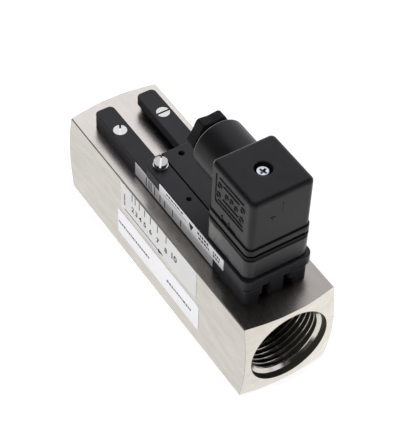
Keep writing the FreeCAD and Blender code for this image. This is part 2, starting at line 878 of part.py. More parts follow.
def plug_screw():
    """Long cross-head screw that holds the plug to its base."""
    tip_z = base_top - insert_bush_drop - plug_screw_bite
    screw = rod_z(plug_x, plug_y, tip_z, head_z, screw_radius)
    screw = screw.fuse(rod_z(plug_x, plug_y, head_z, head_top, plug_head_radius))
    arms = (cross_angle, cross_angle + 90)
    return screw.cut([slot_cut(plug_x, plug_y, head_top, cross_length / 2, cross_width, cross_depth, angle)
                      for angle in arms])


def gland_nut():
    """Hexagon gland nut with hollowed flats, a threaded spigot and the cable's hole."""
    corner = nut_flats / 2 / math.cos(math.radians(30))
    outline = [Vector(nut_outer, plug_y + corner * math.cos(math.radians(60 * i)),
                      gland_z + corner * math.sin(math.radians(60 * i))) for i in range(6)]
    hexagon = prism(outline, Vector(nut_length, 0, 0))
    trim = turned([(nut_outer, 0), (nut_outer, corner - nut_chamfer), (nut_outer + nut_chamfer, corner),
                   (nut_inner, corner), (nut_inner, 0)], plug_y, gland_z)
    reach = nut_flats / 2 + nut_hollow_radius - nut_hollow_depth
    for side in range(6):
        turn = math.radians(60 * side + 30)
        hollow_y = plug_y + reach * math.cos(turn)
        hollow_z = gland_z + reach * math.sin(turn)
        hexagon = hexagon.cut(rod_x(nut_outer, nut_inner, nut_hollow_radius, hollow_y, hollow_z))
    spigot_end = gland_end + nut_thread
    nut = hexagon.common(trim).fuse(rod_x(nut_inner, spigot_end, gland_bore, plug_y, gland_z))
    return nut.cut(rod_x(nut_outer, spigot_end, nut_bore, plug_y, gland_z)).removeSplitter()


def gland_washer():
    """Ring between the nut and the seal."""
    return tube_x(washer_x, washer_x + washer_thickness, gland_bore - seat_gap, washer_bore, plug_y, gland_z)


def gland_seal():
    """Rubber sleeve squeezed round the cable, between the washer and the boss's shoulder."""
    x0 = washer_x + washer_thickness
    return tube_x(x0, throat_x, gland_bore - seat_gap, seal_bore, plug_y, gland_z)


ring_x = sleeve_half + stop_thickness
nodes = {
    "flow_body": flow_body(),
    "slotted_nozzle": slotted_nozzle(),
    "inlet_stop": inlet_stop(),
    "spring_stop": spring_stop(),
    "inlet_circlip": circlip(-ring_x - ring_thickness),
    "outlet_circlip": circlip(ring_x),
    "float_body": float_body(),
    "float_magnet": float_magnet(),
    "float_cap": float_cap(),
    "return_spring": return_spring(),
    "front_rail": rail(-1),
    "rear_rail": rail(1),
    "rail_screws": rail_screws(),
    "rail_scale": rail_scale(),
    "scale_label": scale_label(),
    "type_label": type_label(),
    "switch_housing": switch_housing(),
    "clamp_insert": clamp_insert(),
    "clamp_screw": clamp_screw(),
    "pointer_label": pointer_label(),
    "reed_board": reed_board(),
    "reed_glass": reed_glass(),
    "reed_leads": reed_leads(),
    "jumper_wires": jumper_wires(),
    "base_gasket": base_gasket(),
    "connector_base": connector_base(),
    "base_screws": base_screws(),
    "screw_insert": screw_insert(),
    "contact_blades": contact_blades(),
    "flange_gasket": flange_gasket(),
    "terminal_insert": terminal_insert(),
    "terminal_screws": terminal_screws(),
    "plug_housing": plug_housing(),
    "screw_seal": screw_seal(),
    "plug_screw": plug_screw(),
    "gland_nut": gland_nut(),
    "gland_washer": gland_washer(),
    "gland_seal": gland_seal(),
}
for node, shape in nodes.items():
    shape.exportStep(f"parts/{node}.step")
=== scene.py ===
"""Looks of a variable area flow switch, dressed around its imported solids. Sizes are in millimetres."""
import json

import bpy
import numpy as np
from mathutils import Matrix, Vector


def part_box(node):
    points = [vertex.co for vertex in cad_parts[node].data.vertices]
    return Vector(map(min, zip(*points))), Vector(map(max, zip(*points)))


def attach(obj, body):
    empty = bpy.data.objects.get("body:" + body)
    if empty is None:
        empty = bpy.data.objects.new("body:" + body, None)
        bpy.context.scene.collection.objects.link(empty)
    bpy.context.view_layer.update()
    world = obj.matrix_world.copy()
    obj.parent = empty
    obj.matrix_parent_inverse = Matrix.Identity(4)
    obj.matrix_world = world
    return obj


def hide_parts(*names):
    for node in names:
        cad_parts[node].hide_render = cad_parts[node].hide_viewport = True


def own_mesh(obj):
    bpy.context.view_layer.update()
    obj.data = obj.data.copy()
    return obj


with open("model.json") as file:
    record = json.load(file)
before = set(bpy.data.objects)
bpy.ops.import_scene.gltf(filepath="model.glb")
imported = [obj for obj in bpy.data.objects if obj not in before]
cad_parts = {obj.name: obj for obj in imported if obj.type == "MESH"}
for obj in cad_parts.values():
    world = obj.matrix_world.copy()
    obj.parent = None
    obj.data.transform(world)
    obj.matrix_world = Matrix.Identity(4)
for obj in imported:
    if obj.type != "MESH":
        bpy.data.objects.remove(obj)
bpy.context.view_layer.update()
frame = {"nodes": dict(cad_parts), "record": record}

MM = 0.001


def span(node):
    """A node's lowest and highest corner in millimetres."""
    low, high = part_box(node)
    return np.array(low) / MM, np.array(high) / MM


def centre(node):
    """The middle of a node's box in millimetres."""
    low, high = span(node)
    return (low + high) / 2


body_low, body_high = span("flow_body")
axis_z = centre("flow_body")[2]
outlet = frame["record"]["mounts"][1]
port_wall = outlet["dims"]["r_mm"]
port_mouth = outlet["pos_m"][0] / MM + outlet["dims"]["length_mm"] / 2

# Pipe thread in each port
PITCH = 2.309
MINOR_RADIUS = 15.15
THREAD_ROOT = port_wall - 0.03
THREAD_DEPTH = 15.0
THREAD_FLAT = 0.12
LEAD_IN = 1.2
LAND = 0.25
SLEEVE_GAP = 0.005
lead_in_end = port_mouth - LEAD_IN

# A point on the pipe's axis, and the directions across the pipe and across an upright screw
PIPE_MIDDLE = (0.0, 0.0, axis_z)
ACROSS_PIPE = (0.0, 1.0, 1.0)
ACROSS_SCREW = (1.0, 1.0, 0.0)


def linear(colour):
    """sRGB hex to linear RGBA: ((c + 0.055) / 1.055) ^ 2.4, and c / 12.92 in the darkest part."""
    srgb = np.array([int(colour[i:i + 2], 16) for i in (1, 3, 5)]) / 255
    rgb = np.where(srgb <= 0.04045, srgb / 12.92, ((srgb + 0.055) / 1.055) ** 2.4)
    return (*rgb.tolist(), 1.0)


def feed(node, inputs):
    """Gives a node's sockets their values, or links them to a socket or to a node's first live output."""
    for socket, value in inputs.items():
        if isinstance(value, bpy.types.Node):
            value = next(output for output in value.outputs if output.enabled)
        if isinstance(value, bpy.types.NodeSocket):
            node.id_data.links.new(value, node.inputs[socket])
        else:
            node.inputs[socket].default_value = value


def add(tree, kind, inputs=None, **settings):
    """Adds one shader node: settings go to its properties, inputs to its sockets. Of the sockets that go by
    number, a Map Range has its value at 0, what it maps from at 1 and 2 and to at 3 and 4; a Mix has its
    factor at 0, its two numbers at 2 and 3 and its two colours at 6 and 7."""
    made = tree.nodes.new("ShaderNode" + kind)
    for name, value in settings.items():
        setattr(made, name, value)
    feed(made, inputs or {})
    return made


def millimetres(tree):
    """A material's object coordinates, in millimetres."""
    place = add(tree, "TexCoord")
    return add(tree, "VectorMath", {0: place.outputs["Object"], 1: (1 / MM,) * 3}, operation="MULTIPLY")


def off_axis(tree, spot, middle, across):
    """Each point's way straight out from an axis: its offset from a point on it, less the part along it."""
    offset = add(tree, "VectorMath", {0: spot, 1: middle}, operation="SUBTRACT")
    return add(tree, "VectorMath", {0: offset, 1: across}, operation="MULTIPLY")


def new_material(name):
    """A node material with its tree, its shader and its object coordinates in millimetres."""
    made = bpy.data.materials.new(name)
    made.use_nodes = True
    tree = made.node_tree
    return made, tree, tree.nodes["Principled BSDF"], millimetres(tree)


def lay_over(made, amount, colour):
    """Lays a colour over a material's tone, by an amount from 0 to 1."""
    shader = made.node_tree.nodes["Principled BSDF"]
    tone = shader.inputs["Base Color"].links[0].from_socket
    mixed = add(made.node_tree, "Mix", {0: amount, 6: tone, 7: linear(colour)}, data_type="RGBA")
    feed(shader, {"Base Color": mixed})


BEVEL_SAMPLES = 6
PLASTIC_CLOUD = 5.0


def moulded_plastic(name, dark, pale, roughness, grain_mm, depth_mm, specular=0.5, edge_mm=0.0):
    """Moulded plastic: a fine spark-eroded grain breaks the gloss, the tone drifts a little over the part,
    and the edges are rounded as a mould leaves them. The real grain is about 0.1 mm, drawn coarser so that
    it shows."""
    made, tree, shader, spot = new_material(name)
    shader.inputs["Specular IOR Level"].default_value = specular
    drift = add(tree, "TexNoise", {"Vector": spot, "Scale": 1 / PLASTIC_CLOUD, "Detail": 5.0})
    tone = add(tree, "Mix", {0: drift, 6: linear(dark), 7: linear(pale)}, data_type="RGBA")
    grain = add(tree, "TexNoise", {"Vector": spot, "Scale": 1 / grain_mm, "Detail": 2.0})
    gloss = add(tree, "MapRange", {0: grain, 3: roughness - 0.06, 4: roughness + 0.08})
    bump = add(tree, "Bump", {"Strength": 0.25, "Distance": depth_mm * MM, "Height": grain})
    if edge_mm:
        edge = add(tree, "Bevel", {"Radius": edge_mm * MM}, samples=BEVEL_SAMPLES)
        feed(bump, {"Normal": edge})
    feed(shader, {"Base Color": tone, "Roughness": gloss, "Normal": bump})
    return made


METAL_CLOUD = 9.0
METAL_GRAIN = 0.3
METAL_GRAIN_DEPTH = 0.02


def worked_metal(name, dark, pale, roughness, stretch=(1.0, 1.0, 1.0)):
    """Turned, drawn or plated metal: fine marks, drawn out along one way where a stretch is given, vary the
    gloss, and soft clouds vary the tone. Real marks are about 0.05 mm wide and are drawn coarser, so that
    they show."""
    made, tree, shader, spot = new_material(name)
    shader.inputs["Metallic"].default_value = 1.0
    cloud = add(tree, "TexNoise", {"Vector": spot, "Scale": 1 / METAL_CLOUD, "Detail": 4.0})
    tone = add(tree, "Mix", {0: cloud, 6: linear(dark), 7: linear(pale)}, data_type="RGBA")
    drawn = add(tree, "Mapping", {"Vector": spot, "Scale": stretch})
    marks = add(tree, "TexNoise", {"Vector": drawn, "Scale": 1 / METAL_GRAIN, "Detail": 3.0})
    gloss = add(tree, "MapRange", {0: marks, 3: roughness - 0.07, 4: roughness + 0.09})
    bump = add(tree, "Bump", {"Strength": 0.2, "Distance": METAL_GRAIN_DEPTH * MM, "Height": marks})
    feed(shader, {"Base Color": tone, "Roughness": gloss, "Normal": bump})
    return made


ZINC_ROUGHNESS = 0.24
# Painted highlight: a slot floor tone brighter than the heads
BARE_SLOT = "#f2f0ec"
# Painted shade in the floor of a slot
SLOT_DIRT = "#302e2c"


def slot_floor(tree, spot, node):
    """One in the floor of a screw's slot and zero on its head, by the depth below the head's top."""
    top = span(node)[1][2]
    ways = add(tree, "SeparateXYZ", {0: spot})
    return add(tree, "MapRange", {0: ways.outputs["Z"], 1: top - 0.1, 2: top - 0.3})


def screw_zinc(name, node, dark, pale, slot_tone):
    """Bright zinc on a screw whose slot floor is painted a tone of its own, standing in for how the light
    falls in the slot.
    """
    made = worked_metal(name, dark, pale, ZINC_ROUGHNESS)
    tree = made.node_tree
    lay_over(made, slot_floor(tree, millimetres(tree), node), slot_tone)
    return made


def rail_screw_steel():
    """Bright zinc on the rail screws: the front pair's slot floors are painted bright as a painted
    highlight, and the rear pair's are painted dark as a painted shade.
    """
    made = screw_zinc("bright_zinc_rail_screw", "rail_screws", "#dcdad4", "#ebe9e4", BARE_SLOT)
    tree = made.node_tree
    spot = millimetres(tree)
    ways = add(tree, "SeparateXYZ", {0: spot})
    rear = add(tree, "Math", {0: ways.outputs["Y"], 1: 0.0}, operation="GREATER_THAN")
    # Painted shade in the slots of the rear pair, those behind the middle in Y
    dirt = add(tree, "Math", {0: rear, 1: slot_floor(tree, spot, "rail_screws")}, operation="MULTIPLY")
    lay_over(made, dirt, SLOT_DIRT)
    return made


DULL_FADE = 0.15


def dull_rim(made, node, bright_radius, aside):
    """Paints shade on a screw's head beyond a radius from its own upright axis, where the head's rounded
    rim turns from the light. The lit part lies a little to one side along X."""
    tree = made.node_tree
    middle = centre(node) + (aside, 0.0, 0.0)
    flat = off_axis(tree, millimetres(tree), tuple(middle), ACROSS_SCREW)
    radius = add(tree, "VectorMath", {0: flat}, operation="LENGTH")
    rim = add(tree, "MapRange", {0: radius, 1: bright_radius, 2: bright_radius + DULL_FADE})
    lay_over(made, rim, "#3c3e42")


PLUG_PLASTIC = {"dark": "#0d0d0e", "pale": "#1c1c1d", "roughness": 0.34, "grain_mm": 0.3, "depth_mm": 0.02,
                "specular": 0.26}
BOSS_RIM_RADIUS = 10.62
BOSS_RIM_INSET = 0.18


def worn_plug_shell():
    """Satin black plug plastic with painted highlights: a pale ring along the rim of the gland's mouth,
    fading with the distance from the circle on which the rounded rim turns, and pale rounded edges round
    the side that the gland is on, where their normal leans both to that side and up or to the front."""
    made = moulded_plastic("satin_black_plug_shell", edge_mm=0.8, **PLUG_PLASTIC)
    tree = made.node_tree
    spot = millimetres(tree)
    ways = add(tree, "SeparateXYZ", {0: spot})
    rim_x = span("plug_housing")[0][0] + BOSS_RIM_INSET
    flat = off_axis(tree, spot, tuple(centre("gland_nut")), ACROSS_PIPE)
    radius = add(tree, "VectorMath", {0: flat}, operation="LENGTH")
    out = add(tree, "Math", {0: radius, 1: BOSS_RIM_RADIUS}, operation="SUBTRACT")
    along = add(tree, "Math", {0: ways.outputs["X"], 1: rim_x}, operation="SUBTRACT")
    pair = add(tree, "CombineXYZ", {0: along, 1: out})
    gap = add(tree, "VectorMath", {0: pair}, operation="LENGTH")
    # Painted highlight along the rim of the gland's mouth
    mouth_wear = add(tree, "MapRange", {0: gap, 1: 0.36, 2: 0.16})
    # Painted highlight on the rounded edges towards the gland's side, picked out by their normal
    lean = add(tree, "SeparateXYZ", {0: add(tree, "TexCoord").outputs["Normal"]})
    side = add(tree, "Math", {0: lean.outputs["X"], 1: -1.0}, operation="MULTIPLY")
    front = add(tree, "Math", {0: lean.outputs["Y"], 1: -1.0}, operation="MULTIPLY")
    other = add(tree, "Math", {0: lean.outputs["Z"], 1: front}, operation="MAXIMUM")
    both = add(tree, "Math", {0: side, 1: other}, operation="MINIMUM")
    edge_wear = add(tree, "MapRange", {0: both, 1: 0.4, 2: 0.65, 4: 0.8})
    wear = add(tree, "Math", {0: mouth_wear, 1: edge_wear}, operation="MAXIMUM")
    lay_over(made, wear, "#8c8c90")
    return made


FINGER_PATCH = 3.0


def handled_base():
    """Base of the plug: glossy plastic, greyed in soft patches towards the rails, where fingers push it."""
    made = moulded_plastic("glossy_black_base_plastic", "#090909", "#151515", roughness=0.3, grain_mm=0.3,
                           depth_mm=0.02, specular=0.46, edge_mm=0.25)
    tree = made.node_tree
    spot = millimetres(tree)
    low, high = span("connector_base")
    ways = add(tree, "SeparateXYZ", {0: spot})
    near_rails = add(tree, "MapRange", {0: ways.outputs["X"], 1: high[0] - 4.0, 2: low[0] + 2.0})
    patches = add(tree, "TexNoise", {"Vector": spot, "Scale": 1 / FINGER_PATCH, "Detail": 4.0})
    patches = add(tree, "MapRange", {0: patches, 1: 0.3, 2: 0.6, 3: 0.3, 4: 1.0})
    greyed = add(tree, "Math", {0: near_rails, 1: patches}, operation="MULTIPLY")
    lay_over(made, greyed, "#5c5c59")
    return made


DRAWN_LINE = 0.3


def drawn_glass():
    """Clear tube with a green tint: faint lines along the tube, left by drawing it, vary the polish. They
    are drawn coarser than real ones so that they show."""
    made, tree, shader, spot = new_material("drawn_clear_glass")
    shader.inputs["Transmission Weight"].default_value = 1.0
    drawn = add(tree, "Mapping", {"Vector": spot, "Scale": (0.1, 1.0, 1.0)})
    lines = add(tree, "TexNoise", {"Vector": drawn, "Scale": 1 / DRAWN_LINE, "Detail": 2.0})
    tone = add(tree, "Mix", {0: lines, 6: linear("#d6e8dd"), 7: linear("#e2efe7")}, data_type="RGBA")
    polish = add(tree, "MapRange", {0: lines, 3: 0.03, 4: 0.08})
    feed(shader, {"Base Color": tone, "Roughness": polish})
    return made


FILM_CLOUD = 8.0
FILM_GRAIN = 0.6


def printed_film(name, dark, pale, metallic):
    """Printed film: a fine coating grain in the gloss and a faint drift of tone; a metallised film also
    mirrors. The grain is drawn coarser than the real one so that it shows."""
    made, tree, shader, spot = new_material(name)
    shader.inputs["Metallic"].default_value = metallic
    drift = add(tree, "TexNoise", {"Vector": spot, "Scale": 1 / FILM_CLOUD, "Detail": 3.0})
    tone = add(tree, "Mix", {0: drift, 6: linear(dark), 7: linear(pale)}, data_type="RGBA")
    grain = add(tree, "TexNoise", {"Vector": spot, "Scale": 1 / FILM_GRAIN, "Detail": 2.0})
    gloss = add(tree, "MapRange", {0: grain, 3: 0.27, 4: 0.41})
    feed(shader, {"Base Color": tone, "Roughness": gloss})
    return made


BAR_CLOUD = 5.0
GRINDING_LINE = 0.2
LATHE_RING = 0.3
BAR_EDGE = 0.08
BAR_END_EDGE = 0.2
BORE_SKIN_RADIUS = 17.2
HANDLED_FROM = -22.0
HANDLED_TO = 8.0


def bar_steel():
    """Ground bar with turned ends: fine lines along the sides, fine rings on the ends, soft cloudy tone.
    Light and shade are painted into the tone: the ends and the top take a brighter copy of it than the
    other sides, as lit faces, with the ends lighter towards the back; the bores are painted dark as shade;
    the top is painted darker towards the outlet, as shade and reflection of the black parts above it; and
    the rounded edges round the ends are painted dark as shade. Lines and rings are drawn coarser than real
    ones so that they show."""
    made, tree, shader, spot = new_material("ground_and_turned_steel_bar")
    normal = add(tree, "TexCoord").outputs["Normal"]
    ways = add(tree, "SeparateXYZ", {0: normal})
    places = add(tree, "SeparateXYZ", {0: spot})
    along = add(tree, "Math", {0: ways.outputs["X"]}, operation="ABSOLUTE")
    is_end = add(tree, "MapRange", {0: along, 1: 0.2, 2: 0.6})
    upward = add(tree, "MapRange", {0: ways.outputs["Z"], 1: 0.6, 2: 0.9})
    flat = off_axis(tree, spot, PIPE_MIDDLE, ACROSS_PIPE)
    radius = add(tree, "VectorMath", {0: flat}, operation="LENGTH")
    # Painted shade in the bores: dark within the bore's radius, off the end faces
    bored = add(tree, "MapRange", {0: radius, 1: BORE_SKIN_RADIUS + 0.1, 2: BORE_SKIN_RADIUS})
    skin = add(tree, "Math", {0: bored, 1: is_end}, operation="SUBTRACT", use_clamp=True)
    is_top = add(tree, "Math", {0: upward, 1: skin}, operation="SUBTRACT", use_clamp=True)

    # Clouds in the tone: the sides, and a painted brighter copy for the ends and the top as lit faces, with
    # the ends painted lighter towards the back
    streaks = add(tree, "Mapping", {"Vector": spot, "Scale": (0.3, 1.0, 1.0)})
    cloud = add(tree, "TexNoise", {"Vector": streaks, "Scale": 1 / BAR_CLOUD, "Detail": 6.0,
                                   "Roughness": 0.65})
    side_tone = add(tree, "Mix", {0: cloud, 6: linear("#b6b1a9"), 7: linear("#e6e1d9")}, data_type="RGBA")
    end_tone = add(tree, "Mix", {0: cloud, 6: linear("#d3cdc4"), 7: linear("#f5efe6")}, data_type="RGBA")
    fade = add(tree, "MapRange", {0: places.outputs["Y"], 1: body_low[1], 2: body_high[1],
                                  3: 0.95, 4: 1.09})
    fade = add(tree, "Mix", {0: is_end, 2: 1.0, 3: fade})
    end_tone = add(tree, "Mix", {0: 1.0, 6: end_tone, 7: fade}, data_type="RGBA", blend_type="MULTIPLY")
    bright = add(tree, "Math", {0: is_end, 1: upward}, operation="MAXIMUM")
    tone = add(tree, "Mix", {0: bright, 6: side_tone, 7: end_tone}, data_type="RGBA")

    # Painted shade in the bores, painted shade and reflection on the top towards the outlet, and painted
    # shade on the edges round the ends, where the rounded normal turns away
    tone = add(tree, "Mix", {0: skin, 6: tone, 7: linear("#33302a")}, data_type="RGBA")
    # Painted shade and reflection of the black parts on the top, darker towards the outlet
    handled = add(tree, "MapRange", {0: places.outputs["X"], 1: HANDLED_FROM, 2: HANDLED_TO, 4: 0.6})
    handled = add(tree, "Math", {0: handled, 1: is_top}, operation="MULTIPLY")
    tone = add(tree, "Mix", {0: handled, 6: tone, 7: linear("#77726c")}, data_type="RGBA")
    # Painted shade on the rounded edges round the ends, where the bevelled normal turns from the face
    rim = add(tree, "Bevel", {"Radius": BAR_END_EDGE * MM}, samples=BEVEL_SAMPLES)
    bend = add(tree, "VectorMath", {0: normal, 1: rim}, operation="DOT_PRODUCT")
    tilt = add(tree, "SeparateXYZ", {0: rim})
    tilt = add(tree, "Math", {0: tilt.outputs["X"]}, operation="ABSOLUTE")
    round_end = add(tree, "MapRange", {0: tilt, 1: 0.05, 2: 0.3})
    corner = add(tree, "MapRange", {0: bend, 1: 0.995, 2: 0.9, 4: 0.9})
    corner = add(tree, "Math", {0: corner, 1: round_end}, operation="MULTIPLY")
    tone = add(tree, "Mix", {0: corner, 6: tone, 7: linear("#36332e")}, data_type="RGBA")
    bare = add(tree, "Math", {0: 1.0, 1: skin}, operation="SUBTRACT")

    # Gloss: grinding lines and lathe rings, duller in the bores, on the top and on the filed long edges
    drawn = add(tree, "Mapping", {"Vector": spot, "Scale": (0.05, 1.0, 1.0)})
    lines = add(tree, "TexNoise", {"Vector": drawn, "Scale": 1 / GRINDING_LINE, "Detail": 3.0})
    rings = add(tree, "TexNoise", {"W": radius, "Scale": 1 / LATHE_RING, "Detail": 2.0},
                noise_dimensions="1D")
    marks = add(tree, "Mix", {0: is_end, 2: lines, 3: rings})
    gloss = add(tree, "MapRange", {0: marks, 3: 0.17, 4: 0.28})
    across = add(tree, "Math", {0: ways.outputs["Y"]}, operation="ABSOLUTE")
    broken = add(tree, "Math", {0: across, 1: ways.outputs["Z"]}, operation="MINIMUM")
    matt = add(tree, "Math", {0: skin, 1: 0.4}, operation="MULTIPLY")
    hazy = add(tree, "Math", {0: is_top, 1: 0.06}, operation="MULTIPLY")
    filed = add(tree, "MapRange", {0: broken, 1: 0.3, 2: 0.6, 4: 0.4})
    for duller in (matt, hazy, filed):
        gloss = add(tree, "Math", {0: gloss, 1: duller}, operation="ADD")

    # Relief: a faint swell of the ground faces under the fine marks
    edge = add(tree, "Bevel", {"Radius": BAR_EDGE * MM}, samples=BEVEL_SAMPLES)
    waves = add(tree, "TexNoise", {"Vector": spot, "Scale": 1 / BAR_CLOUD, "Detail": 2.0})
    swell = add(tree, "Bump", {"Strength": 0.3, "Distance": 0.12 * MM, "Height": waves, "Normal": edge})
    bump = add(tree, "Bump", {"Strength": 0.1, "Distance": 0.01 * MM, "Height": marks, "Normal": swell})
    feed(shader, {"Base Color": tone, "Metallic": bare, "Roughness": gloss, "Normal": bump})
    return made


LOWEST_LINE = (0.0, 0.05, -1.0)
OIL_RUN = (0.0, 0.559, -0.829)
TOOL_GRAIN = 0.4


def thread_steel():
    """Cut thread: bright crests, and roots painted dark as shade, by the distance from the pipe's axis.
    Along the lowest line of the bore the flanks are kept bright too, a painted glint. On one side of that
    line shade is painted on the lead-in's cone, and a lighter painted shade over the crests behind it. The
    tool's grain is drawn coarser than real so that it shows."""
    made, tree, shader, spot = new_material("cut_thread_steel")
    flat = off_axis(tree, spot, PIPE_MIDDLE, ACROSS_PIPE)
    radius = add(tree, "VectorMath", {0: flat}, operation="LENGTH")
    outward = add(tree, "VectorMath", {0: flat}, operation="NORMALIZE")
    ways = add(tree, "SeparateXYZ", {0: spot})
    along = add(tree, "Math", {0: ways.outputs["X"]}, operation="ABSOLUTE")
    inside = add(tree, "MapRange", {0: along, 1: lead_in_end, 2: lead_in_end - 0.1})

    # Painted shade in the roots, held back on the flanks along the lowest line as a painted glint
    lowest = add(tree, "VectorMath", {0: outward, 1: LOWEST_LINE}, operation="DOT_PRODUCT")
    rubbed = add(tree, "MapRange", {0: lowest, 1: 0.94, 2: 0.99, 4: 0.6})
    depth = add(tree, "Math", {0: radius, 1: rubbed}, operation="SUBTRACT")
    oiled = add(tree, "MapRange", {0: depth, 1: MINOR_RADIUS + 0.06, 2: MINOR_RADIUS + 0.36})
    dark = add(tree, "Math", {0: oiled, 1: inside}, operation="MULTIPLY")

    # Painted shade on the cone, off the first crest, and a lighter painted shade over the crests behind
    beside = add(tree, "VectorMath", {0: outward, 1: OIL_RUN}, operation="DOT_PRODUCT")
    dried = add(tree, "MapRange", {0: beside, 1: 0.865, 2: 0.94})
    mouth = add(tree, "Math", {0: 1.0, 1: inside}, operation="SUBTRACT")
    off_crest = add(tree, "MapRange", {0: radius, 1: MINOR_RADIUS + 0.2, 2: MINOR_RADIUS + 0.4})
    mouth = add(tree, "Math", {0: mouth, 1: off_crest}, operation="MULTIPLY")
    dried = add(tree, "Math", {0: dried, 1: mouth}, operation="MULTIPLY")
    behind = add(tree, "MapRange", {0: along, 1: lead_in_end - 0.6, 2: lead_in_end - 1.0})
    film = add(tree, "MapRange", {0: beside, 1: 0.9, 2: 0.94, 4: 0.85})
    film = add(tree, "Math", {0: film, 1: behind}, operation="MULTIPLY")
    for oil in (dried, film):
        dark = add(tree, "Math", {0: dark, 1: oil}, operation="MAXIMUM")

    grain = add(tree, "TexNoise", {"Vector": spot, "Scale": 1 / TOOL_GRAIN, "Detail": 3.0})
    clean = add(tree, "Mix", {0: grain, 6: linear("#d2cdc5"), 7: linear("#e4dfd7")}, data_type="RGBA")
    tone = add(tree, "Mix", {0: dark, 6: clean, 7: linear("#38362d")}, data_type="RGBA")
    bare = add(tree, "Math", {0: 1.0, 1: dark}, operation="SUBTRACT")
    gloss = add(tree, "MapRange", {0: grain, 3: 0.1, 4: 0.24})
    feed(shader, {"Base Color": tone, "Metallic": bare, "Roughness": gloss})
    return made


# Ground and turned steel bar: a warm satin grey with faint streaks, the ends and top painted brighter as
# lit faces, with painted shade in the bores, on the top and round the ends
ground_bar = bar_steel()
# Cut steel thread: bright thin crests over roots painted near-black as shade, with a painted glint along
# the lowest line
cut_thread = thread_steel()
# Zinc plating on the hidden screws: an even, bright satin
zinc_steel = worked_metal("bright_zinc_steel", "#dcdad4", "#ebe9e4", ZINC_ROUGHNESS)
# Zinc plating on the clamp screw: a greyer head, with the slot floor painted bright as a painted highlight
clamp_zinc = screw_zinc("bright_zinc_clamp_screw", "clamp_screw", "#b4b2ac", "#d2d0ca", BARE_SLOT)
# Zinc plating on the rail screws: white heads, a painted highlight on the front slot floors and painted
# shade in the rear slots
rail_screw_zinc = rail_screw_steel()
# Zinc plating on the plug screw: a cool bright head and a cross floor painted a cool grey, inside a rim of
# painted shade
plug_screw_zinc = screw_zinc("bright_zinc_plug_screw", "plug_screw", "#d8dadd", "#e9ebee", "#cdd3dc")
dull_rim(plug_screw_zinc, "plug_screw", bright_radius=2.1, aside=-0.3)
# Drawn spring steel of the coil, the circlips and the leads: a middle grey with a soft shine
spring_steel = worked_metal("drawn_spring_steel", "#8f8e8a", "#a6a49f", 0.30, stretch=(0.2, 1.0, 1.0))
# Turned steel of the inner parts: a plain, slightly dull grey
turned_steel = worked_metal("turned_steel", "#a9a6a0", "#bcb8b1", 0.28)
# Turned brass of the bushes: a soft yellow shine
brass = worked_metal("turned_brass", "#b08d4e", "#c9a562", 0.28)
# Tinned brass of the blades: a pale, faintly yellow shine with upright marks
tinned_brass = worked_metal("tinned_brass", "#bdb7a9", "#cfc9bc", 0.3, stretch=(1.0, 1.0, 0.2))
# Moulded polyamide of the rails and the housing: matt charcoal with soft highlights on its edges
black_polyamide = moulded_plastic("moulded_black_polyamide", "#17171a", "#252528", roughness=0.42,
                                  grain_mm=0.35, depth_mm=0.03, specular=0.34, edge_mm=0.25)
# Plug plastic: a deep satin black
black_plug_plastic = moulded_plastic("satin_black_plug_plastic", edge_mm=0.3, **PLUG_PLASTIC)
# Gland nut plastic: a duller black that hardly shines
black_nut_plastic = moulded_plastic("matt_black_nut_plastic", "#0f0f10", "#1b1b1c", roughness=0.5,
                                    grain_mm=0.3, depth_mm=0.02, specular=0.15)
# Base plastic: a glossy black with grey patches from fingers
black_base_plastic = handled_base()
# Seal rubber: near black, with almost no shine
black_rubber = moulded_plastic("moulded_black_rubber", "#080808", "#0d0d0d", roughness=0.6, grain_mm=0.5,
                               depth_mm=0.03, specular=0.2)
# Plug shell: the plug plastic with painted highlights, pale on its rounded edges and in a ring round the
# boss
plug_shell_plastic = worn_plug_shell()
# Turned plastic of the float: a plain dark grey
grey_plastic = moulded_plastic("turned_grey_plastic", "#38383a", "#444446", roughness=0.4, grain_mm=0.4,
                               depth_mm=0.02)
# Sintered ferrite of the magnet: a dull, grainy near-black
ferrite = moulded_plastic("sintered_ferrite", "#1d1c1e", "#2b2a2c", roughness=0.55, grain_mm=0.6,
                          depth_mm=0.04)
# Circuit board: a green with a soft lacquered shine
board_laminate = moulded_plastic("glass_epoxy_board", "#1c4a2b", "#245a34", roughness=0.4, grain_mm=0.5,
                                 depth_mm=0.02)
# Wire insulation: a dark red, half matt
wire_sheath = moulded_plastic("wire_sheath", "#5a1a14", "#6b221a", roughness=0.45, grain_mm=0.4,
                              depth_mm=0.02)
# Printed white film of the lower label: a cool, even white
white_film = printed_film("printed_white_film", "#ecebee", "#f3f2f4", metallic=0.0)
# Silver-grey film of the scale: a pale grey, no mirror
silver_film = printed_film("silver_grey_film", "#d0cfce", "#d8d7d6", metallic=0.0)
# Metallised film of the pointer plate: a bright silver that takes the tone of what it faces
plate_film = printed_film("metallised_plate_film", "#e7e6e8", "#eeedef", metallic=0.65)
# Metallised film of the rail's strip: a slightly darker silver that mirrors a little more
strip_film = printed_film("metallised_strip_film", "#dcdbdd", "#e4e3e5", metallic=0.7)
# Printed ink: flat black with a trace of shine
black_ink = moulded_plastic("printed_black_ink", "#0d0d0e", "#161617", roughness=0.5, grain_mm=0.4,
                            depth_mm=0.004, specular=0.3)
# Drawn glass of the reed: clear with a faint green
clear_glass = drawn_glass()

